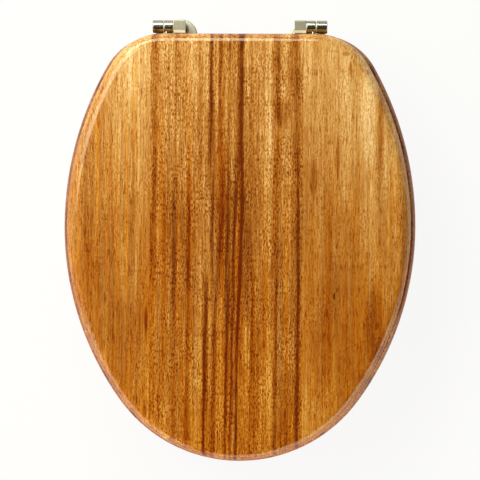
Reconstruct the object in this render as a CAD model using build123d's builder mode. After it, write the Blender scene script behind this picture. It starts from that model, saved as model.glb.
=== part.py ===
from build123d import *

import os
from math import asin, atan2, cos, degrees, radians, sin, tan

os.makedirs("parts", exist_ok=True)

# Millimetres. X = 0 is the seat's middle plane, -Y is its front and Z is up. The hinge pins lie
# along Y = 0, and Z = 0 is the top of the bowl, where the base gaskets and ring buffers stand.

# Outline of the seat ring from above
seat_width = 370.0
widest_line = 209.5  # from the hinge pins forward to the widest place
front_reach = 247.0  # from the widest place to the front tip
front_side_ease = 64.5  # side arc radius beyond the front reach
rear_side_radius = 342.0
rear_corner_radius = 66.5

# Opening of the seat ring
opening_width = 224.0
opening_widest_line = 235.0
opening_front_reach = 148.0
opening_front_ease = 32.0
opening_rear_reach = 128.0
opening_rear_ease = 20.0

# Boards and their rounded edges
ring_thickness = 18.0
ring_top_round = 8.0
ring_bottom_round = 5.0
opening_top_round = 10.0
opening_bottom_round = 4.0
lid_thickness = 19.0
lid_bottom_round = 6.5
lid_edge_flat = 1.5  # straight band left between the two roundings
lid_side_reveal = 4.5  # how far the ring shows past the lid at the sides
lid_front_reveal = 2.4  # and at the front

# Buffers and the screws that hold them
ring_buffer_height = 9.0
ring_buffer_length = 38.0
ring_buffer_width = 14.0
ring_buffer_screw_spacing = 20.0
lid_buffer_height = 4.0
lid_buffer_radius = 9.0
buffer_edge_round = 1.2
buffer_screw_radius = 1.6
buffer_screw_head_radius = 3.0
buffer_screw_head_height = 1.8
buffer_screw_bite = 11.0  # length of screw in the wood
ring_screw_cover = 4.0  # rubber between the screw heads and the ring
lid_screw_cover = 1.0  # rubber between the screw heads and the lid
ring_buffer_places = ((100.0, -375.0, 52.0), (146.0, -165.0, 97.0))  # x, y and turn on the right
lid_buffer_places = ((75.0, -395.0), (138.0, -150.0))  # x and y on the right

# Hinges: the post, then the lid's barrel, then the ring's barrel, outwards on each pin
post_spacing = 127.0
post_width = 12.0
post_head_top = 5.4  # above the pin's centre
post_head_drop = 4.5  # below the pin's centre
post_back_step = 0.2  # how much less than the barrel the head reaches back
post_lid_gap = 0.6  # between the head and the lid's rear edge
post_flat_front = 3.7  # the flat top ends this far in front of the pin
post_front_slope = 16.0  # degrees, from there down to the head's front
post_edge_round = 1.0
pad_thickness = 3.0  # nylon pad on the front of the head, where the lid's edge passes
pad_stem_radius = 1.0
pad_stem_length = 3.0
post_column_radius = 5.4
post_foot_radius = 7.0
post_foot_height = 2.0
barrel_radius = 6.8
barrel_end_round = 0.8
lid_barrel_length = 9.5
ring_barrel_length = 11.5
ring_barrel_end_wall = 2.0
pin_radius = 3.0
pin_grip = 10.0  # length of pin held in the post
pin_end_chamfer = 0.4
pin_above_lid_bottom = 1.0
bush_wall = 1.0
bush_flange_radius = 6.2
bush_flange = 0.5
lid_rear_gap = 0.7  # between the barrels and the lid's rear edge
ring_rear_gap = 1.0  # between the barrels and the ring's rear edge
shank_grip = 26.0  # length of shank in the wood
lid_shank_radius = 2.0
lid_shank_rise = 2.6  # above the pin's centre
lid_shank_inset = 2.6  # from the outer end of the lid's barrel
ring_shank_radius = 2.5
ring_shank_height = 10.0  # above the ring's underside
lug_width = 8.0
lug_radius = 4.5
lug_forward = 2.3  # lug's centre in front of the pin

# Bases: off-centre discs that swivel under the posts and carry the fixing studs
disc_radius = 17.5
disc_thickness = 4.0
disc_edge_round = 1.5
left_disc_offset = 8.0  # from the post's centre to the disc's centre, along the disc's slot
right_disc_offset = 11.0
left_disc_turn = 87.0  # degrees from outwards, through the front, to inwards
right_disc_turn = 65.0
gasket_thickness = 1.5
gasket_edge = 1.0  # how far the gasket stays inside the disc
gasket_hole_radius = 5.5
post_screw_radius = 2.5
post_screw_head_radius = 3.6
post_screw_head_height = 2.2
post_screw_grip = 12.0
hex_key_radius = 1.7
hex_key_depth = 1.3
stud_radius = 4.0
stud_thread_radius = 3.7  # the thread is drawn at its mean radius
stud_seat_depth = 2.8  # depth of the stud in the disc
stud_plain_length = 35.5  # plain length from the disc down through the bowl
stud_thread_length = 34.0
cone_washer_radius = 11.0
cone_washer_nose_radius = 6.5
cone_washer_height = 6.0
washer_bore_slack = 0.5
flat_washer_radius = 10.0
flat_washer_thickness = 1.6
nut_radius = 7.5
nut_crown_radius = 6.0
nut_height = 9.0
wing_reach = 12.0  # from the nut's centre to the wing tip's centre
wing_drop = 9.0
wing_root_radius = 4.0
wing_tip_radius = 4.5
wing_thickness = 2.6

# Clearances
running_gap = 0.05  # between a turning piece and its pin
seat_gap = 0.02  # between pieces that are pressed or screwed together
side_play = 0.1  # along the pins, on each side of a flange
washer_play = 0.2  # below the stud's plain length

# Heights and places that follow from the sizes above
ring_bottom = ring_buffer_height
ring_top = ring_bottom + ring_thickness
lid_bottom = ring_top + lid_buffer_height
ring_screw_seat = ring_bottom - ring_screw_cover
lid_screw_seat = lid_bottom - lid_screw_cover
lid_top_round = lid_thickness - lid_bottom_round - lid_edge_flat
pin_height = lid_bottom + pin_above_lid_bottom
lid_rear = barrel_radius + lid_rear_gap
ring_rear = barrel_radius + ring_rear_gap
lid_shank_height = pin_height + lid_shank_rise
ring_shank_level = ring_bottom + ring_shank_height
post_x = post_spacing / 2
post_side = post_x + post_width / 2
head_front = lid_rear - post_lid_gap
pad_rise = post_head_top - pad_thickness
pad_bottom = pin_height + pad_rise
pad_middle = (post_flat_front + head_front) / 2
lid_flange_start = post_side + side_play
lid_barrel_start = lid_flange_start + bush_flange
lid_barrel_end = lid_barrel_start + lid_barrel_length
ring_flange_start = lid_barrel_end + side_play
ring_barrel_start = ring_flange_start + bush_flange
ring_barrel_end = ring_barrel_start + ring_barrel_length
ring_bore_end = ring_barrel_end - ring_barrel_end_wall
pin_start = post_side - pin_grip
pin_end = ring_bore_end - side_play
lid_shank_x = lid_barrel_end - lid_shank_inset
ring_shank_x = (ring_barrel_start + ring_barrel_end) / 2
bush_outer_radius = pin_radius + running_gap + bush_wall
disc_bottom = gasket_thickness
disc_top = disc_bottom + disc_thickness
disc_slot_near = min(left_disc_offset, right_disc_offset)
disc_slot_far = max(left_disc_offset, right_disc_offset)
stud_plain_bottom = disc_bottom - stud_plain_length
cone_washer_top = stud_plain_bottom - washer_play
flat_washer_top = cone_washer_top - cone_washer_height
nut_top = flat_washer_top - flat_washer_thickness
washer_bore_radius = stud_thread_radius + washer_bore_slack


def lid_pad_places():
    return [(side * x, y) for x, y in lid_buffer_places for side in (-1, 1)]


def ring_foot_places():
    return [(side * x, y, side * turn) for x, y, turn in ring_buffer_places for side in (-1, 1)]


def ring_screw_places():
    places = []
    for x, y, turn in ring_foot_places():
        for step in (-ring_buffer_screw_spacing / 2, ring_buffer_screw_spacing / 2):
            places.append((x + step * cos(radians(turn)), y + step * sin(radians(turn))))
    return places


def disc_centre(side, offset, turn):
    reach = offset * cos(radians(turn))
    return side * (post_x + reach), -offset * sin(radians(turn))


def cross_plane(x):
    # Upright plane across the hinge, centred on the pin: first axis to the front, second axis up
    return Plane(origin=(x, 0, pin_height), x_dir=(0, -1, 0), z_dir=(-1, 0, 0))


def bar_along_pin(side, start, end, radius, mode=Mode.ADD):
    with BuildSketch(cross_plane(side * start)) as section:
        Circle(radius)
    extrude(section.sketch, amount=side * (start - end), mode=mode)


def bar_to_front(x, start, end, z, radius, mode=Mode.ADD):
    with BuildSketch(Plane(origin=(x, -start, z), x_dir=(1, 0, 0), z_dir=(0, -1, 0))) as section:
        Circle(radius)
    extrude(section.sketch, amount=end - start, mode=mode)


def upright_bar(place, bottom, top, radius, mode=Mode.ADD):
    with BuildSketch(Plane(origin=(place[0], place[1], bottom))) as section:
        Circle(radius)
    extrude(section.sketch, amount=top - bottom, mode=mode)


def rounded_end(half_width, reach, ease, way):
    # Right half of an egg's end: a flat side arc and a tighter tip arc that meets the middle
    side_radius = reach + ease
    tip_radius = (2 * half_width * side_radius - half_width**2 - reach**2) / (2 * ease)
    turn = degrees(atan2(reach - tip_radius, side_radius - half_width))
    CenterArc((half_width - side_radius, 0), side_radius, 0, way * turn)
    CenterArc((0, way * (reach - tip_radius)), tip_radius, way * turn, way * (90 - turn))


def seat_board(plan, side_inset, front_inset, rear_edge):
    # Egg-shaped front, gently curved sides and a straight rear edge with rounded corners
    half_width = seat_width / 2 - side_inset
    rear_radius = rear_side_radius - side_inset
    rear_turn = degrees(asin((widest_line - rear_edge) / rear_radius))
    with BuildLine() as rim:
        rounded_end(half_width, front_reach - front_inset, front_side_ease, -1)
        rear_arc = CenterArc((half_width - rear_radius, 0), rear_radius, 0, rear_turn)
        mirror(about=Plane.YZ)
        corner = rear_arc @ 1
        Line(corner, (-corner.X, corner.Y))
    make_face(rim.edges())
    fillet(plan.vertices().group_by(Axis.Y)[-1], rear_corner_radius - side_inset)


def make_lid():
    with BuildPart() as board:
        with BuildSketch(Plane(origin=(0, -widest_line, lid_bottom))) as plan:
            seat_board(plan, lid_side_reveal, lid_front_reveal, lid_rear)
        extrude(amount=lid_thickness)
        fillet(board.edges().group_by(Axis.Z)[-1], lid_top_round)
        fillet(board.edges().group_by(Axis.Z)[0], lid_bottom_round)
        for side in (-1, 1):
            bar_to_front(
                side * lid_shank_x,
                0,
                lid_rear + shank_grip + seat_gap,
                lid_shank_height,
                lid_shank_radius + seat_gap,
                Mode.SUBTRACT,
            )
        for place in lid_pad_places():
            upright_bar(
                place,
                lid_bottom,
                lid_bottom + buffer_screw_bite + seat_gap,
                buffer_screw_radius + seat_gap,
                Mode.SUBTRACT,
            )
    return board


def make_seat_ring():
    with BuildPart() as board:
        with BuildSketch(Plane(origin=(0, -widest_line, ring_bottom))) as plan:
            seat_board(plan, 0, 0, ring_rear)
        extrude(amount=ring_thickness)
        fillet(board.edges().group_by(Axis.Z)[-1], ring_top_round)
        fillet(board.edges().group_by(Axis.Z)[0], ring_bottom_round)
        with BuildSketch(Plane(origin=(0, -opening_widest_line, ring_bottom))):
            with BuildLine():
                rounded_end(opening_width / 2, opening_front_reach, opening_front_ease, -1)
                rounded_end(opening_width / 2, opening_rear_reach, opening_rear_ease, 1)
                mirror(about=Plane.YZ)
            make_face()
        extrude(amount=ring_thickness, mode=Mode.SUBTRACT)
        top_rim = board.faces().sort_by(Axis.Z)[-1].inner_wires()[0]
        fillet(top_rim.edges(), opening_top_round)
        bottom_rim = board.faces().sort_by(Axis.Z)[0].inner_wires()[0]
        fillet(bottom_rim.edges(), opening_bottom_round)
        for side in (-1, 1):
            bar_to_front(
                side * ring_shank_x,
                0,
                ring_rear + shank_grip + seat_gap,
                ring_shank_level,
                ring_shank_radius + seat_gap,
                Mode.SUBTRACT,
            )
        for place in ring_screw_places():
            upright_bar(
                place,
                ring_bottom,
                ring_bottom + buffer_screw_bite + seat_gap,
                buffer_screw_radius + seat_gap,
                Mode.SUBTRACT,
            )
    return board


def make_ring_buffers():
    with BuildPart() as feet:
        for x, y, turn in ring_foot_places():
            with BuildSketch(Plane(origin=(x, y, 0))):
                SlotOverall(ring_buffer_length, ring_buffer_width, rotation=turn)
            extrude(amount=ring_buffer_height)
        fillet(feet.edges().group_by(Axis.Z)[0], buffer_edge_round)
        for place in ring_screw_places():
            upright_bar(place, 0, ring_screw_seat, buffer_screw_head_radius + seat_gap, Mode.SUBTRACT)
            upright_bar(place, ring_screw_seat, ring_bottom, buffer_screw_radius + seat_gap, Mode.SUBTRACT)
    return feet


def make_ring_buffer_screws():
    head_bottom = ring_screw_seat - buffer_screw_head_height
    with BuildPart() as screws:
        for place in ring_screw_places():
            upright_bar(place, head_bottom, ring_screw_seat, buffer_screw_head_radius)
            upright_bar(place, ring_screw_seat, ring_bottom + buffer_screw_bite, buffer_screw_radius)
    return screws


def make_lid_buffers():
    with BuildPart() as pads:
        for place in lid_pad_places():
            upright_bar(place, ring_top, lid_bottom, lid_buffer_radius)
        fillet(pads.edges().group_by(Axis.Z)[0], buffer_edge_round)
        for place in lid_pad_places():
            upright_bar(place, ring_top, lid_screw_seat, buffer_screw_head_radius + seat_gap, Mode.SUBTRACT)
            upright_bar(place, lid_screw_seat, lid_bottom, buffer_screw_radius + seat_gap, Mode.SUBTRACT)
    return pads


def make_lid_buffer_screws():
    head_bottom = lid_screw_seat - buffer_screw_head_height
    with BuildPart() as screws:
        for place in lid_pad_places():
            upright_bar(place, head_bottom, lid_screw_seat, buffer_screw_head_radius)
            upright_bar(place, lid_screw_seat, lid_bottom + buffer_screw_bite, buffer_screw_radius)
    return screws


def post_head(side):
    # Flat-topped block, sloped at the front for the lid's edge to pass
    head_back = post_back_step - barrel_radius
    slope_drop = (head_front - post_flat_front) * tan(radians(post_front_slope))
    with BuildSketch(cross_plane(side * (post_x - post_width / 2))) as outline:
        with BuildLine():
            Polyline(
                (head_back, -post_head_drop),
                (head_front, -post_head_drop),
                (head_front, post_head_top - slope_drop),
                (post_flat_front, post_head_top),
                (head_back, post_head_top),
                close=True,
            )
        make_face()
        front_top = outline.vertices().group_by(Axis.X)[-1].sort_by(Axis.Y)[-1]
        rear_top = outline.vertices().group_by(Axis.X)[0].sort_by(Axis.Y)[-1]
        fillet((front_top, rear_top), post_edge_round)
    extrude(outline.sketch, amount=-side * post_width)


def pad_space(side, gap, mode):
    # The corner of the head, in front of its flat top, that the pad fills
    with BuildSketch(cross_plane(side * (post_x - post_width / 2))) as corner:
        with Locations((post_flat_front + gap, pad_rise + gap)):
            Rectangle(barrel_radius, barrel_radius, align=(Align.MIN, Align.MIN))
    extrude(corner.sketch, amount=-side * post_width, mode=mode)


def make_post(side):
    pivot = (side * post_x, 0)
    with BuildPart() as post:
        post_head(side)
        pad_space(side, 0, Mode.SUBTRACT)
        upright_bar(pivot, disc_top, pin_height, post_column_radius)
        upright_bar(pivot, disc_top, disc_top + post_foot_height, post_foot_radius)
        bar_along_pin(side, pin_start, post_side, pin_radius + seat_gap, Mode.SUBTRACT)
        upright_bar(
            (side * post_x, -pad_middle),
            pad_bottom - pad_stem_length - seat_gap,
            pad_bottom,
            pad_stem_radius + seat_gap,
            Mode.SUBTRACT,
        )
        upright_bar(
            pivot,
            disc_top,
            disc_top + post_screw_grip + seat_gap,
            post_screw_radius + seat_gap,
            Mode.SUBTRACT,
        )
    return post


def make_post_pad(side):
    with BuildPart() as pad:
        post_head(side)
        pad_space(side, seat_gap, Mode.INTERSECT)
        upright_bar(
            (side * post_x, -pad_middle),
            pad_bottom - pad_stem_length,
            pad_bottom + seat_gap,
            pad_stem_radius,
        )
    return pad


def make_hinge_pin(side):
    with BuildPart() as pin:
        bar_along_pin(side, pin_start, pin_end, pin_radius)
        chamfer(pin.edges().filter_by(GeomType.CIRCLE), pin_end_chamfer)
    return pin


def make_lid_knuckle(side):
    with BuildPart() as knuckle:
        bar_along_pin(side, lid_barrel_start, lid_barrel_end, barrel_radius)
        fillet(knuckle.edges().filter_by(GeomType.CIRCLE), barrel_end_round)
        bar_to_front(
            side * lid_shank_x, pin_radius, lid_rear + shank_grip, lid_shank_height, lid_shank_radius
        )
        bore_radius = bush_outer_radius + seat_gap
        bar_along_pin(side, lid_barrel_start, lid_barrel_end, bore_radius, Mode.SUBTRACT)
    return knuckle


def make_ring_knuckle(side):
    drop = ring_shank_level - pin_height
    with BuildPart() as knuckle:
        bar_along_pin(side, ring_barrel_start, ring_barrel_end, barrel_radius)
        fillet(knuckle.edges().filter_by(GeomType.CIRCLE), barrel_end_round)
        with BuildSketch(cross_plane(side * (ring_shank_x - lug_width / 2))):
            Circle(barrel_radius - barrel_end_round)
            with Locations((lug_forward, drop)):
                Circle(lug_radius)
            make_hull()
        extrude(amount=-side * lug_width)
        bar_to_front(
            side * ring_shank_x, lug_forward, ring_rear + shank_grip, ring_shank_level, ring_shank_radius
        )
        bore_radius = bush_outer_radius + seat_gap
        bar_along_pin(side, ring_barrel_start, ring_bore_end, bore_radius, Mode.SUBTRACT)
    return knuckle


def make_bush(side, flange_start, barrel_start, sleeve_end):
    with BuildPart() as bush:
        bar_along_pin(side, flange_start, barrel_start, bush_flange_radius)
        bar_along_pin(side, barrel_start, sleeve_end, bush_outer_radius)
        bar_along_pin(side, flange_start, sleeve_end, pin_radius + running_gap, Mode.SUBTRACT)
    return bush


def make_base_disc(side, centre):
    # A stepped slot lets the post be set nearer to the stud or further from it
    to_post = (side * post_x - centre[0], -centre[1], 0)
    floor = Plane(origin=(*centre, disc_bottom), x_dir=to_post, z_dir=(0, 0, 1))
    head_room = post_screw_head_height + side_play + running_gap
    with BuildPart() as disc:
        upright_bar(centre, disc_bottom, disc_top, disc_radius)
        fillet(disc.edges().group_by(Axis.Z)[-1], disc_edge_round)
        for radius, depth in ((post_screw_radius, disc_thickness), (post_screw_head_radius, head_room)):
            with BuildSketch(floor):
                with Locations(((disc_slot_near + disc_slot_far) / 2, 0)):
                    SlotCenterToCenter(disc_slot_far - disc_slot_near, 2 * (radius + running_gap))
            extrude(amount=depth, mode=Mode.SUBTRACT)
        upright_bar(
            centre,
            disc_bottom,
            disc_bottom + stud_seat_depth + seat_gap,
            stud_thread_radius + seat_gap,
            Mode.SUBTRACT,
        )
    return disc


def make_base_gasket(centre):
    with BuildPart() as gasket:
        upright_bar(centre, 0, gasket_thickness, disc_radius - gasket_edge)
        upright_bar(centre, 0, gasket_thickness, gasket_hole_radius, Mode.SUBTRACT)
    return gasket


def make_post_screw(side):
    pivot = (side * post_x, 0)
    head_bottom = disc_bottom + side_play
    head_top = head_bottom + post_screw_head_height
    with BuildPart() as screw:
        upright_bar(pivot, head_bottom, head_top, post_screw_head_radius)
        upright_bar(pivot, head_top, disc_top + post_screw_grip, post_screw_radius)
        with BuildSketch(Plane(origin=(*pivot, head_bottom))):
            RegularPolygon(hex_key_radius, 6)
        extrude(amount=hex_key_depth, mode=Mode.SUBTRACT)
    return screw


def make_fixing_stud(centre):
    with BuildPart() as stud:
        upright_bar(centre, disc_bottom, disc_bottom + stud_seat_depth, stud_thread_radius)
        upright_bar(centre, stud_plain_bottom, disc_bottom, stud_radius)
        upright_bar(
            centre, stud_plain_bottom - stud_thread_length, stud_plain_bottom, stud_thread_radius
        )
        chamfer(stud.edges().group_by(Axis.Z)[0], pin_end_chamfer)
    return stud


def make_cone_washer(centre):
    with BuildPart() as washer:
        with BuildSketch(Plane(origin=(*centre, flat_washer_top))):
            Circle(cone_washer_radius)
        with BuildSketch(Plane(origin=(*centre, cone_washer_top))):
            Circle(cone_washer_nose_radius)
        loft()
        upright_bar(centre, flat_washer_top, cone_washer_top, washer_bore_radius, Mode.SUBTRACT)
    return washer


def make_flat_washer(centre):
    with BuildPart() as washer:
        upright_bar(centre, nut_top, flat_washer_top, flat_washer_radius)
        upright_bar(centre, nut_top, flat_washer_top, washer_bore_radius, Mode.SUBTRACT)
    return washer


def make_wing_nut(centre):
    with BuildPart() as nut:
        with BuildSketch(Plane(origin=(*centre, nut_top))):
            Circle(nut_radius)
        with BuildSketch(Plane(origin=(*centre, nut_top - nut_height))):
            Circle(nut_crown_radius)
        loft()
        wing_plane = Plane(origin=(*centre, nut_top), x_dir=(1, 0, 0), z_dir=(0, -1, 0))
        for side in (-1, 1):
            with BuildSketch(wing_plane):
                with Locations((side * (nut_radius - wing_root_radius), -nut_height / 2)):
                    Circle(wing_root_radius)
                with Locations((side * wing_reach, -wing_drop)):
                    Circle(wing_tip_radius)
                make_hull()
            extrude(amount=wing_thickness / 2, both=True)
        bore_radius = stud_thread_radius + seat_gap
        bore_bottom = nut_top - nut_height - wing_root_radius
        upright_bar(centre, bore_bottom, nut_top, bore_radius, Mode.SUBTRACT)
    return nut


def save(piece, name):
    piece.part.label = name
    export_step(piece.part, f"parts/{name}.step")


save(make_lid(), "lid")
save(make_seat_ring(), "seat_ring")
save(make_lid_buffers(), "lid_buffers")
save(make_lid_buffer_screws(), "lid_buffer_screws")
save(make_ring_buffers(), "ring_buffers")
save(make_ring_buffer_screws(), "ring_buffer_screws")

for name, side, offset, turn in (
    ("left", -1, left_disc_offset, left_disc_turn),
    ("right", 1, right_disc_offset, right_disc_turn),
):
    centre = disc_centre(side, offset, turn)
    print(f"{name} stud at x {centre[0]:.3f}, y {centre[1]:.3f}")
    save(make_post(side), f"{name}_post")
    save(make_post_pad(side), f"{name}_post_pad")
    save(make_hinge_pin(side), f"{name}_hinge_pin")
    save(make_lid_knuckle(side), f"{name}_lid_knuckle")
    save(make_ring_knuckle(side), f"{name}_ring_knuckle")
    save(make_bush(side, lid_flange_start, lid_barrel_start, lid_barrel_end), f"{name}_lid_bush")
    save(make_bush(side, ring_flange_start, ring_barrel_start, pin_end), f"{name}_ring_bush")
    save(make_base_disc(side, centre), f"{name}_base_disc")
    save(make_base_gasket(centre), f"{name}_base_gasket")
    save(make_post_screw(side), f"{name}_post_screw")
    save(make_fixing_stud(centre), f"{name}_fixing_stud")
    save(make_cone_washer(centre), f"{name}_cone_washer")
    save(make_flat_washer(centre), f"{name}_flat_washer")
    save(make_wing_nut(centre), f"{name}_wing_nut")
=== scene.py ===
import math

import bmesh
import bpy
from mathutils import Matrix, Vector


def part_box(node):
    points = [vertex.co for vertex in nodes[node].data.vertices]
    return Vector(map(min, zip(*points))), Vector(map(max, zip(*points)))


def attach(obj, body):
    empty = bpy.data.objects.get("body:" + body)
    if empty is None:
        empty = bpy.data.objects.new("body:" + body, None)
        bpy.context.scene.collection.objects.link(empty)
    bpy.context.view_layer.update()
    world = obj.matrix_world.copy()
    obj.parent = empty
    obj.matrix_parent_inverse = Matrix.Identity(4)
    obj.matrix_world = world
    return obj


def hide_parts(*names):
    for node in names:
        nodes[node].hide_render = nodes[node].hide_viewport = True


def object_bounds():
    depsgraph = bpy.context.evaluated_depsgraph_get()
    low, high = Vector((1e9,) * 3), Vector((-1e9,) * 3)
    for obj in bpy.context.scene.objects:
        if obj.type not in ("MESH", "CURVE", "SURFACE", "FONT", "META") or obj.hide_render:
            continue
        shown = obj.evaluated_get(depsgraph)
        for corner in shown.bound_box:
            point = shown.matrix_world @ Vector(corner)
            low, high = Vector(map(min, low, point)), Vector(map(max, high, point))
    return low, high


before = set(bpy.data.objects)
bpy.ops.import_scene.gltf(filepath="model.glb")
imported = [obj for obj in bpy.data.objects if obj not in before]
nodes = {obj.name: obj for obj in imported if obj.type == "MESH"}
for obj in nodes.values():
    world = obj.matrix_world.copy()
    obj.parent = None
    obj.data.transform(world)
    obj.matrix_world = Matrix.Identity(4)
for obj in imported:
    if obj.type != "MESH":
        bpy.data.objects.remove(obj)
cadBox = [list(corner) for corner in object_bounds()]
print("frame loaded:", len(nodes), "nodes")

mmPerMetre = 1000
noiseMean = 0.5
noiseSpan = (0.3, 0.7)   # most of a noise texture lies between these


# sRGB hex to the linear values that the shaders take
def linear(hexCode):
    parts = [int(hexCode[i:i + 2], 16) / 255 for i in (1, 3, 5)]
    return [p / 12.92 if p <= 0.04045 else ((p + 0.055) / 1.055) ** 2.4 for p in parts] + [1.0]


# adds one node: inputs are links or plain values, in order or by socket, and a node stands for its first output;
# stops fill a colour ramp, which blends as said
def addNode(tree, kind, inputs=(), stops=(), blend=None, **settings):
    node = tree.nodes.new("ShaderNode" + kind)
    for name, value in settings.items():
        setattr(node, name, value)
    if not isinstance(inputs, dict):
        inputs = dict(enumerate(inputs))
    for socket, value in inputs.items():
        if isinstance(value, bpy.types.Node):
            value = value.outputs[0]
        if isinstance(value, bpy.types.NodeSocket):
            tree.links.new(value, node.inputs[socket])
        else:
            node.inputs[socket].default_value = value
    for i, (place, tone) in enumerate(stops):
        elements = node.color_ramp.elements
        element = elements[i] if i < 2 else elements.new(place)
        element.position = place
        if isinstance(tone, str):
            tone = linear(tone)[:3]
        elif not isinstance(tone, tuple):
            tone = (tone, tone, tone)
        element.color = (*tone, 1)
    if blend:
        node.color_ramp.interpolation = blend
    return node


# an empty material, and its place on the piece in mm
def newMaterial(name):
    material = bpy.data.materials.new(name)
    material.use_nodes = True
    tree = material.node_tree
    tree.nodes.clear()
    coords = addNode(tree, "TexCoord").outputs["Object"]
    inMm = addNode(tree, "VectorMath", (coords, (mmPerMetre,) * 3), operation="MULTIPLY")
    return material, tree, inMm


# places are mm from the middle (X) or from the hinge pins (Y)
lidBoard = {
    "halfWidth": 185, "length": 500,
    "seed": (0, 0, 0),             # mm, where the board was cut from the pattern
    "glueLines": (-93.5, 67.3),    # joints between the three staves
    "staves": [(.585, .5, 0), (.55, 1, .35), (.585, .45, .7)],   # tone, share of flecks, shift along the log
    "drift": (-8, 62, .021),       # the middle grain leans: place, half width, mm sideways per mm
    "heart": (10, 38, .06),        # and is darker: mm beside that place where it starts and stops to fade, depth
    "along": [(-440, .07), (-330, .02), (-200, .03), (-30, .25)],   # how much paler front to rear: the log's own tone, and at the rear end painted light where the lamps fall stronger
    # rear, middle and front veins: place, reach left, reach right, depth
    "veins": [
        [(-90, 3, 9, .5), (-66, 3, 4, .42), (-29, 2, 4, .8), (-18, 3, 3, .6), (-8, 3, 3, .3),
         (5, 6, 4, 1), (40, 8, 6, .4), (60, 9, 6, .5), (150, 5, 4, .3)],
        [(-90, 3, 7, .5), (-67, 6, 5, .45), (-52, 3.5, 3, .6), (-24, 2.4, 3, .8), (-14, 6, 5, .6),
         (-6.7, 1.9, 1.9, .9), (.6, 2.1, 2.1, .9), (7, 3, 2.6, 1), (40, 9, 9, .4), (62, 4, 4, .85)],
        [(-67, 6, 5, .2), (-53, 4, 4, .3), (-31, 2.5, 5, .8), (-19, 4, 4, .4), (-4, 2, 2, .75),
         (1.4, 2.2, 2.2, .65), (6.6, 2.4, 2.2, .9), (19, 2, 3, .35), (40, 2.5, 2.5, .6), (62, 4, 3, .8)],
    ],
    "changes": [(-200, -110), (-310, -230)],   # where middle veins take over from rear ones, then front ones
    # marks of their own: place, half width, half length, depth; a negative one is paler
    "dashes": [
        (-96, -309, 2, 20, .3), (-97, -404, 2, 13, .25), (-83, -398, 2, 24, .2), (104, -138, 2, 26, .25),
        (101, -282, 1.5, 4, .4), (112, -29, 5, 3, .25), (117, -45, 2, 9, .25), (79, -160, 5, 30, .2),
        (45, -90, 9, 18, .2), (9, -332, 5, 34, -.16), (143, -310, 11, 50, .22), (136, -95, 15, 60, -.08),
        (112, -330, 50, 110, .1), (-62, -235, 32, 120, .05), (-112, -350, 55, 95, .05),
    ],
}
ringBoard = {
    "halfWidth": 185, "length": 500,
    "seed": (430, 260, 90),
    "glueLines": (-61, 52),
    "staves": [(.41, .8, .2), (.5, .6, .55), (.5, 1, .9)],
    "drift": (0, 90, -.012),
    "heart": (0, 60, .04),
    # paler front to rear: the log's own tone, and at the rear end painted light
    "along": [(-440, .04), (-200, 0), (-30, .06)],
    "veins": [
        [(-150, 5, 6, .5), (-118, 4, 4, .6), (-64, 5, 2, .5), (22, 4, 5, .6), (95, 5, 5, .6), (140, 5, 4, .5)],
        [(-152, 5, 6, .6), (-126, 4, 4, .5), (-64, 5, 2, .6), (30, 5, 5, .4), (126, 5, 5, .6), (147, 5, 4, .5)],
        [(-140, 5, 6, .5), (-110, 4, 4, .6), (-64, 5, 2, .5), (30, 5, 5, .6), (88, 5, 5, .6), (138, 5, 4, .5)],
    ],
    "changes": [(-200, -110), (-310, -230)],
    "dashes": [(-84, -420, 2, 14, .3), (40, -70, 2, 16, .3), (150, -250, 2, 20, .3)],
}
# width and length of one mark in mm, then detail; real fibres, flecks and pores are a few tenths of a mm wide,
# and these are drawn over 1 mm wide so that they show
grainLayers = {
    "sway": (70, 260, 1), "ripple": (10, 60, 1), "cloud": (45, 190, 2), "band": (8, 260, 3), "line": (2.2, 110, 3),
    "streak": (5, 200, 2), "patch": (20, 38, 2),
    "fibre": (1.3, 18, 2), "fleck": (1.25, 3.4, 1), "pore": (1.1, 12, 1),
}
# how the layers add up to one tone; four numbers turn a layer's range into a range of tone or strength
figure = {
    "logStep": (150, 900, 150),          # mm that a stave's shift of 1 moves it on the log
    "wander": {"sway": 5, "ripple": 3},  # mm that veins move sideways
    "weights": {"cloud": .5, "band": .62, "line": .54, "fibre": .55, "patch": .22},
    "calmest": .5,                       # share of its lines that a stave with no flecks keeps
    "gathered": (.35, .65, .45, 1.35),   # flecks gather in patches
    "flecks": (.32, .56, -.32, .04),
    "pores": (.32, .42, -.24, 0),
    "veinDepth": (.35, .65, -.5, -.8),   # by patches too
    "paintedEdgeShade": (.3, .98, -.03, 0),         # painted shade: darker on the rounded edges, by how far the face looks up or down
    "dashFade": (.4, 1.1),               # shares of a dash's size
    "umber": ("#5c2804", "#7a3c0a", "#9a5a1a", "#b57b3a", "#d2a263", "#efcfa1"),    # dark to pale
    "orange": ("#662200", "#843700", "#a25606", "#be761e", "#d99d46", "#f5ca82"),
    "rearOrange": -.42, "edgeOrange": 4, "orangeSpan": (.18, .42),
    "bareRoughness": .5, "lacquerRoughness": .13,
    "lacquer": (.15, .42, 0, 1),         # soaks into the upright sides, so they stay dull
    "poreBump": {"Strength": 0.08, "Distance": 0.0003},
}


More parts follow.
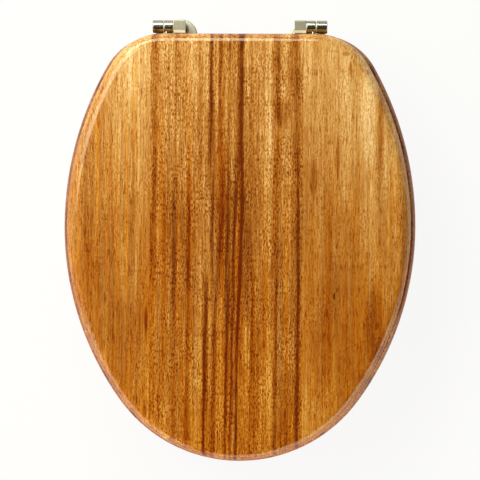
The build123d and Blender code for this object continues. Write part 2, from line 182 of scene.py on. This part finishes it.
# Lacquered acacia: three glued staves, honey grain with dark veins, short pores and a clear gloss coat
def makeWood(name, board):
    material, tree, inMm = newMaterial(name)
    half, length = board["halfWidth"], board["length"]
    x, y = addNode(tree, "SeparateXYZ", (inMm,)).outputs[:2]
    straight = addNode(tree, "MapRange", (x, -half, half))
    starts = [0] + [(line + half) / (2 * half) for line in board["glueLines"]]
    stave = addNode(tree, "ValToRGB", (straight,), zip(starts, board["staves"]), "CONSTANT")
    staveTone, fleckShare, logShift = addNode(tree, "SeparateColor", (stave,)).outputs
    shift = addNode(tree, "VectorMath", (logShift, figure["logStep"], board["seed"]), operation="MULTIPLY_ADD")
    place = addNode(tree, "VectorMath", (inMm, shift), operation="ADD")
    grain = {}
    for layer, (wide, long, detail) in grainLayers.items():
        stretched = addNode(tree, "VectorMath", (place, (1 / wide, 1 / long, 1 / wide)), operation="MULTIPLY")
        grain[layer] = addNode(tree, "TexNoise", {"Vector": stretched, "Scale": 1.0, "Detail": detail})

    # veins lean, sway and ripple along the board, and change from its rear to its front
    centre, reach, slope = board["drift"]
    beside = addNode(tree, "Math", (x, centre), operation="SUBTRACT")
    beside = addNode(tree, "Math", (beside,), operation="ABSOLUTE")
    lean = addNode(tree, "MapRange", (beside, 0, reach, -slope, 0), interpolation_type="SMOOTHSTEP")
    across = addNode(tree, "Math", (y, lean, x), operation="MULTIPLY_ADD")
    for layer, swing in figure["wander"].items():
        centred = addNode(tree, "Math", (grain[layer], noiseMean), operation="SUBTRACT")
        across = addNode(tree, "Math", (centred, swing, across), operation="MULTIPLY_ADD")
    across = addNode(tree, "MapRange", (across, -half, half))
    for i, veins in enumerate(board["veins"]):
        stops = []
        for middle, left, right, dark in veins:
            stops += [(middle - left, 0), (middle, dark), (middle + right, 0)]
        stops = [((spot + half) / (2 * half), dark) for spot, dark in sorted(stops)]
        here = addNode(tree, "ValToRGB", (across,), stops, "EASE")
        if i == 0:
            depth = here
            continue
        front, rear = board["changes"][i - 1]
        share = addNode(tree, "MapRange", (y, front, rear, 1, 0), interpolation_type="SMOOTHSTEP")
        depth = addNode(tree, "Mix", {0: share, 2: depth, 3: here})

    # paler at the rear, partly the log's own tone and partly painted light, and the log is darker at its heart
    lengthwise = addNode(tree, "MapRange", (y, -length, 0))
    toneAndRearLight = addNode(tree, "ValToRGB", (lengthwise,), [(spot / length + 1, more) for spot, more in board["along"]])
    tone = addNode(tree, "Math", (toneAndRearLight, staveTone), operation="ADD")
    inner, outer, dark = board["heart"]
    heart = addNode(tree, "MapRange", (beside, inner, outer, -dark, 0), interpolation_type="SMOOTHSTEP")
    tone = addNode(tree, "Math", (tone, heart), operation="ADD")
    # the outer staves have calmer lines and fewer flecks
    lines = 0
    for layer, weight in figure["weights"].items():
        centred = addNode(tree, "Math", (grain[layer], noiseMean), operation="SUBTRACT")
        lines = addNode(tree, "Math", (centred, weight, lines), operation="MULTIPLY_ADD")
    calm = addNode(tree, "Math", (fleckShare, 1 - figure["calmest"], figure["calmest"]), operation="MULTIPLY_ADD")
    tone = addNode(tree, "Math", (lines, calm, tone), operation="MULTIPLY_ADD")
    gathered = addNode(tree, "MapRange", (grain["patch"], *figure["gathered"]))
    gathered = addNode(tree, "Math", (gathered, fleckShare), operation="MULTIPLY")
    flecks = addNode(tree, "MapRange", (grain["fleck"], *figure["flecks"]))
    tone = addNode(tree, "Math", (flecks, gathered, tone), operation="MULTIPLY_ADD")
    pores = addNode(tree, "MapRange", (grain["pore"], *figure["pores"]))
    tone = addNode(tree, "Math", (tone, pores), operation="ADD")
    # how far a face looks up or down is read on the piece itself, so it stays as it is at every pose
    normal = addNode(tree, "NewGeometry").outputs["True Normal"]
    normal = addNode(tree, "VectorTransform", (normal,), vector_type="NORMAL",
                     convert_from="WORLD", convert_to="OBJECT")
    facing = addNode(tree, "SeparateXYZ", (normal,)).outputs["Z"]
    facing = addNode(tree, "Math", (facing,), operation="ABSOLUTE")
    # painted shade: the tone drops on faces that turn away from straight up or down, so the rounded edges read
    # darker
    paintedEdgeShade = addNode(tree, "MapRange", (facing, *figure["paintedEdgeShade"]))
    tone = addNode(tree, "Math", (tone, paintedEdgeShade), operation="ADD")
    veinDepth = addNode(tree, "MapRange", (grain["patch"], *figure["veinDepth"]))
    tone = addNode(tree, "Math", (depth, veinDepth, tone), operation="MULTIPLY_ADD")
    for dashX, dashY, wide, long, dark in board["dashes"]:
        offset = addNode(tree, "VectorMath", (inMm, (dashX, dashY, 0)), operation="SUBTRACT")
        offset = addNode(tree, "VectorMath", (offset, (1 / wide, 1 / long, 0)), operation="MULTIPLY")
        far = addNode(tree, "VectorMath", (offset,), operation="LENGTH").outputs["Value"]
        mark = addNode(tree, "MapRange", (far, *figure["dashFade"], -dark, 0), interpolation_type="SMOOTHSTEP")
        tone = addNode(tree, "Math", (tone, mark), operation="ADD")

    # more orange towards the front, and less on the rounded edges where the shade is painted
    share = addNode(tree, "Math", (lengthwise, figure["rearOrange"], grain["streak"]), operation="MULTIPLY_ADD")
    share = addNode(tree, "Math", (paintedEdgeShade, figure["edgeOrange"], share), operation="MULTIPLY_ADD")
    share = addNode(tree, "MapRange", (share, *figure["orangeSpan"]))
    ramps = []
    for tints in (figure["umber"], figure["orange"]):
        stops = [(i / (len(tints) - 1), tint) for i, tint in enumerate(tints)]
        ramps.append(addNode(tree, "ValToRGB", (tone,), stops))
    colour = addNode(tree, "Mix", {0: share, 6: ramps[0], 7: ramps[1]}, data_type="RGBA").outputs[2]
    shader = addNode(tree, "BsdfPrincipled", {
        "Base Color": colour,
        "Roughness": figure["bareRoughness"],
        "Specular IOR Level": 0.0,   # the lacquer gives all the gloss
        "Coat Weight": addNode(tree, "MapRange", (facing, *figure["lacquer"])),
        "Coat Roughness": figure["lacquerRoughness"],
        "Normal": addNode(tree, "Bump", {"Height": grain["pore"], **figure["poreBump"]}),
    })
    addNode(tree, "OutputMaterial", {"Surface": shader})
    return material


# lines of the buffing wheel: real ones are a few hundredths of a mm wide, and these are drawn so that they show
buffing = {"width": 0.9, "length": 9, "detail": 2.0, "roughnessSpread": 0.02}   # mm
brokenEdge = {"radius": 0.0003, "samples": 6}   # m


# Polished steel: a warm nickel grey with faint lines of the buffing wheel, softer where it's only satin
def makeSteel(name, tones, roughness):
    material, tree, inMm = newMaterial(name)
    wide, long, spread = buffing["width"], buffing["length"], buffing["roughnessSpread"]
    stretched = addNode(tree, "VectorMath", (inMm, (1 / wide, 1 / long, 1 / long)), operation="MULTIPLY")
    lines = addNode(tree, "TexNoise", {"Vector": stretched, "Scale": 1.0, "Detail": buffing["detail"]})
    shader = addNode(tree, "BsdfPrincipled", {
        "Base Color": addNode(tree, "ValToRGB", (lines,), zip(noiseSpan, tones)),
        "Roughness": addNode(tree, "MapRange", (lines, *noiseSpan, roughness - spread, roughness + spread)),
        "Metallic": 1.0,
        # broken edges catch the light
        "Normal": addNode(tree, "Bevel", {"Radius": brokenEdge["radius"]}, samples=brokenEdge["samples"]),
    })
    addNode(tree, "OutputMaterial", {"Surface": shader})
    return material


zinc = {"bloom": 3, "detail": 4.0, "tones": ("#a9aeb3", "#c9ced1"), "roughness": (0.28, 0.42)}   # bloom in mm


# Zinc plate: thin bluish bright coat with a faint cloudy bloom
def makeZincPlate():
    material, tree, inMm = newMaterial("zincPlate")
    stretched = addNode(tree, "VectorMath", (inMm, (1 / zinc["bloom"],) * 3), operation="MULTIPLY")
    bloom = addNode(tree, "TexNoise", {"Vector": stretched, "Scale": 1.0, "Detail": zinc["detail"]})
    shader = addNode(tree, "BsdfPrincipled", {
        "Base Color": addNode(tree, "ValToRGB", (bloom,), zip(noiseSpan, zinc["tones"])),
        "Roughness": addNode(tree, "MapRange", (bloom, *noiseSpan, *zinc["roughness"])),
        "Metallic": 1.0,
    })
    addNode(tree, "OutputMaterial", {"Surface": shader})
    return material


skin = {"detail": 3.0, "roughnessSpread": 0.06, "bump": {"Strength": 0.15, "Distance": 0.0002}}


# Natural nylon and moulded rubbers: satin skin with a spark-eroded grain,
# its grit (mm) drawn coarser than real so that it shows
def makeMoulded(name, tones, roughness, grit):
    material, tree, inMm = newMaterial(name)
    spread = skin["roughnessSpread"]
    stretched = addNode(tree, "VectorMath", (inMm, (1 / grit,) * 3), operation="MULTIPLY")
    grain = addNode(tree, "TexNoise", {"Vector": stretched, "Scale": 1.0, "Detail": skin["detail"]})
    shader = addNode(tree, "BsdfPrincipled", {
        "Base Color": addNode(tree, "ValToRGB", (grain,), zip(noiseSpan, tones)),
        "Roughness": addNode(tree, "MapRange", (grain, *noiseSpan, roughness - spread, roughness + spread)),
        "Normal": addNode(tree, "Bump", {"Height": grain, **skin["bump"]}),
    })
    addNode(tree, "OutputMaterial", {"Surface": shader})
    return material


finishes = {
    "polishedSteel": makeSteel("polishedSteel", ("#a8a498", "#b4b0a5"), 0.16),
    "satinSteel": makeSteel("satinSteel", ("#9a978f", "#a5a29a"), 0.46),
    "discSteel": makeSteel("satinDiscSteel", ("#cdccc6", "#d7d6d0"), 0.55),
    "zincPlate": makeZincPlate(),
    "nylon": makeMoulded("naturalNylon", ("#e6e2d4", "#f0ede2"), 0.42, 1.2),
    "greyRubber": makeMoulded("greyRubber", ("#6c6d6c", "#7d7e7c"), 0.62, 1.1),
    "bufferRubber": makeMoulded("bufferRubber", ("#c9c3b2", "#d8d2c3"), 0.55, 1.1),
    "lidWood": makeWood("lacqueredAcaciaLid", lidBoard),
    "ringWood": makeWood("lacqueredAcaciaRing", ringBoard),
}
finishOf = {
    "lid": "lidWood", "seat_ring": "ringWood",
    "post": "satinSteel", "lid_knuckle": "polishedSteel", "ring_knuckle": "polishedSteel", "base_disc": "discSteel",
    "hinge_pin": "zincPlate", "post_screw": "zincPlate", "fixing_stud": "zincPlate", "flat_washer": "zincPlate",
    "wing_nut": "zincPlate", "lid_buffer_screws": "zincPlate", "ring_buffer_screws": "zincPlate",
    "lid_bush": "nylon", "ring_bush": "nylon", "post_pad": "nylon",
    "base_gasket": "greyRubber", "cone_washer": "greyRubber",
    "lid_buffers": "bufferRubber", "ring_buffers": "bufferRubber",
}
for name, node in nodes.items():
    kind = name.removeprefix("left_").removeprefix("right_")
    node.material_slots[0].material = finishes[finishOf[kind]]
print("finishes laid on", len(nodes), "nodes")


# M8 studs: plain through the bowl, then a rolled thread with a chamfered end (mm)
stud = {
    "majorRadius": 4.0, "rootRadius": 3.42, "pitch": 1.25, "steps": 32,
    "seatRadius": 3.7, "seatHeight": 2.8, "threadLength": 34.0, "tipRadius": 3.0,
    "profile": ((0, "rootRadius"), (.16, "rootRadius"), (.46, "majorRadius"), (.62, "majorRadius")),
    "sides": 48,
    "softAngle": 25,   # degrees, edges sharper than this stay crisp
    "mergeWithin": 0.001, "cutWithin": 0.0001,
}
for side in ("left", "right"):
    low, high = [[mmPerMetre * value for value in corner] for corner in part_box(f"{side}_fixing_stud")]
    cx = (low[0] + high[0]) / 2
    cy = (low[1] + high[1]) / 2
    threadTop = low[2] + stud["threadLength"]
    plainTop = high[2] - stud["seatHeight"]
    shape = bmesh.new()
    # one profile of the whole thread, turned once round the stud while it climbs a single pitch
    rim = []
    for turn in range(round(stud["threadLength"] / stud["pitch"]) + 2):
        for part, size in stud["profile"]:
            z = low[2] + (turn - 1 + part) * stud["pitch"]
            rim.append(shape.verts.new((cx + stud[size], cy, z)))
    for first, second in zip(rim, rim[1:]):
        shape.edges.new((first, second))
    # no use_merge: the last profile lands on the first one's next turn, and the doubles are merged there
    bmesh.ops.spin(shape, geom=shape.verts[:] + shape.edges[:], cent=(cx, cy, 0), axis=(0, 0, 1),
                   dvec=(0, 0, stud["pitch"] / stud["steps"]), angle=math.tau, steps=stud["steps"])
    bmesh.ops.remove_doubles(shape, verts=shape.verts, dist=stud["mergeWithin"])
    for height, way in ((low[2], -1), (threadTop, 1)):
        bmesh.ops.bisect_plane(shape, geom=shape.verts[:] + shape.edges[:] + shape.faces[:], dist=stud["cutWithin"],
                               plane_co=(cx, cy, height), plane_no=(0, 0, way), clear_outer=True)
    bmesh.ops.holes_fill(shape, edges=[edge for edge in shape.edges if edge.is_boundary])
    # the end is chamfered: nothing there stands out past a cone
    for vert in shape.verts:
        reach = math.hypot(vert.co.x - cx, vert.co.y - cy)
        limit = stud["tipRadius"] + vert.co.z - low[2]
        if reach > limit:
            vert.co.x = cx + (vert.co.x - cx) * limit / reach
            vert.co.y = cy + (vert.co.y - cy) * limit / reach
    for bottom, top, size in ((threadTop, plainTop, "majorRadius"), (plainTop, high[2], "seatRadius")):
        bmesh.ops.create_cone(shape, cap_ends=True, segments=stud["sides"], radius1=stud[size], radius2=stud[size],
                              depth=top - bottom, matrix=Matrix.Translation((cx, cy, (bottom + top) / 2)))
    bmesh.ops.recalc_face_normals(shape, faces=shape.faces)
    bmesh.ops.scale(shape, vec=(1 / mmPerMetre,) * 3, verts=shape.verts)
    for face in shape.faces:
        face.smooth = True
    for edge in shape.edges:
        edge.smooth = edge.calc_face_angle(0) < math.radians(stud["softAngle"])
    mesh = bpy.data.meshes.new(f"{side}_stud_thread")
    shape.to_mesh(mesh)
    shape.free()
    mesh.materials.append(finishes["zincPlate"])
    piece = bpy.data.objects.new(mesh.name, mesh)
    bpy.context.scene.collection.objects.link(piece)
    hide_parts(f"{side}_fixing_stud")
    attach(piece, f"{side}_base")
print("studs threaded")


# a round sheet of pale paper, curved up at its rim (m)
stageSet = {
    "profile": ((0, 0), (6.0, 0), (6.5, 0.05), (6.8, 0.2), (6.95, 0.5), (7.0, 1.0)),   # out, up
    "steps": 64, "mergeWithin": 0.0001,
    "drop": 0.0005,   # below the lowest point of the seat
    "shade": "#e4e4e2", "whiteShare": 0.9,
}
floorMesh = bmesh.new()
rim = [floorMesh.verts.new((out, 0, rise + cadBox[0][2] - stageSet["drop"])) for out, rise in stageSet["profile"]]
for first, second in zip(rim, rim[1:]):
    floorMesh.edges.new((first, second))
bmesh.ops.spin(floorMesh, geom=floorMesh.verts[:] + floorMesh.edges[:], cent=(0, 0, 0), axis=(0, 0, 1),
               angle=math.tau, steps=stageSet["steps"], use_merge=True)
bmesh.ops.remove_doubles(floorMesh, verts=floorMesh.verts, dist=stageSet["mergeWithin"])
bmesh.ops.recalc_face_normals(floorMesh, faces=floorMesh.faces)
for face in floorMesh.faces:
    face.smooth = True
mesh = bpy.data.meshes.new("floor")
floorMesh.to_mesh(mesh)
floorMesh.free()
floor = bpy.data.objects.new("floor", mesh)
bpy.context.scene.collection.objects.link(floor)
# Matte paper: white to the camera and in reflections, while a share of it still shows the shadow
paper = bpy.data.materials.new("palePaper")
paper.use_nodes = True
tree = paper.node_tree
tree.nodes.clear()
rays = addNode(tree, "LightPath").outputs
share = rays["Is Camera Ray"]
for kind in ("Is Glossy Ray", "Is Transmission Ray"):
    share = addNode(tree, "Math", (share, rays[kind]), operation="MAXIMUM")
share = addNode(tree, "Math", (share, stageSet["whiteShare"]), operation="MULTIPLY")
matte = addNode(tree, "BsdfDiffuse", {"Color": linear(stageSet["shade"])})
glow = addNode(tree, "Emission", {"Color": (1, 1, 1, 1), "Strength": 1.0})
addNode(tree, "OutputMaterial", {"Surface": addNode(tree, "MixShader", (share, matte, glow))})
floor.data.materials.append(paper)


# place and aim in m, width and height in m, watts, tint of the cloth
softboxes = {
    "left": {"place": (-0.775, 0.25, 1.37), "aim": (0, -0.2, 0.04), "size": (0.58, 1.0),
             "power": 12.0, "tint": "#fffbdc"},
    "rear": {"place": (-0.38, 0.83, 0.88), "aim": (0, -0.1, 0.04), "size": (0.92, 0.68),
             "power": 17.0, "tint": "#fffbdc"},
    "frontLeft": {"place": (-0.95, -1.15, 0.33), "aim": (0, -0.2, 0.2), "size": (1.2, 0.78),
                  "power": 10.0, "tint": "#fff3d0"},
    "frontRight": {"place": (0.634, -1.392, 0.33), "aim": (0, -0.2, 0.2), "size": (2.4, 0.78),
                   "power": 18.0, "tint": "#fff3d0"},
    "fill": {"place": (-1.35, -0.1, 0.95), "aim": (0, -0.2, 0.04), "size": (1.6, 0.8),
             "power": 5.0, "tint": "#fffbe4"},
}
roomLight = 0.06   # strength of the white world
for name, box in softboxes.items():
    light = bpy.data.lights.new(name, "AREA")
    light.energy = box["power"]
    light.color = linear(box["tint"])[:3]
    light.shape = "RECTANGLE"
    light.size, light.size_y = box["size"]
    lamp = bpy.data.objects.new(name, light)
    lamp.location = box["place"]
    direction = Vector(box["aim"]) - Vector(box["place"])
    lamp.rotation_euler = direction.to_track_quat("-Z", "Y").to_euler()
    bpy.context.scene.collection.objects.link(lamp)
world = bpy.data.worlds.new("studio")
bpy.context.scene.world = world
world.use_nodes = True
world.node_tree.nodes["Background"].inputs["Color"].default_value = (1, 1, 1, 1)
world.node_tree.nodes["Background"].inputs["Strength"].default_value = roomLight

view = {
    "distance": 4.0,           # m from the aim
    "fieldWidth": 0.5057,      # m across the picture at the aim
    "aim": (0.0005, -0.2238, 0.018),
    "lean": 3.0,               # degrees that the camera stands to the right of straight above
    "roll": 0.34,              # degrees
    "sensor": 36.0,            # mm
    "farthest": 100,           # m
}
lens = bpy.data.cameras.new("camera")
lens.sensor_width = view["sensor"]
lens.lens = view["sensor"] * view["distance"] / view["fieldWidth"]
lens.clip_end = view["farthest"]
camera = bpy.data.objects.new("camera", lens)
lean = math.radians(view["lean"])
roll = math.radians(view["roll"])
back = Vector((math.sin(lean), 0, math.cos(lean)))
up = Vector((-math.sin(roll), math.cos(roll), 0))
right = up.cross(back).normalized()
up = back.cross(right)
turned = Matrix((right, up, back)).transposed().to_4x4()
camera.matrix_world = Matrix.Translation(Vector(view["aim"]) + back * view["distance"]) @ turned
bpy.context.scene.collection.objects.link(camera)
bpy.context.scene.camera = camera
bpy.context.scene.view_settings.view_transform = "Standard"
print("stage, lamps and camera placed")
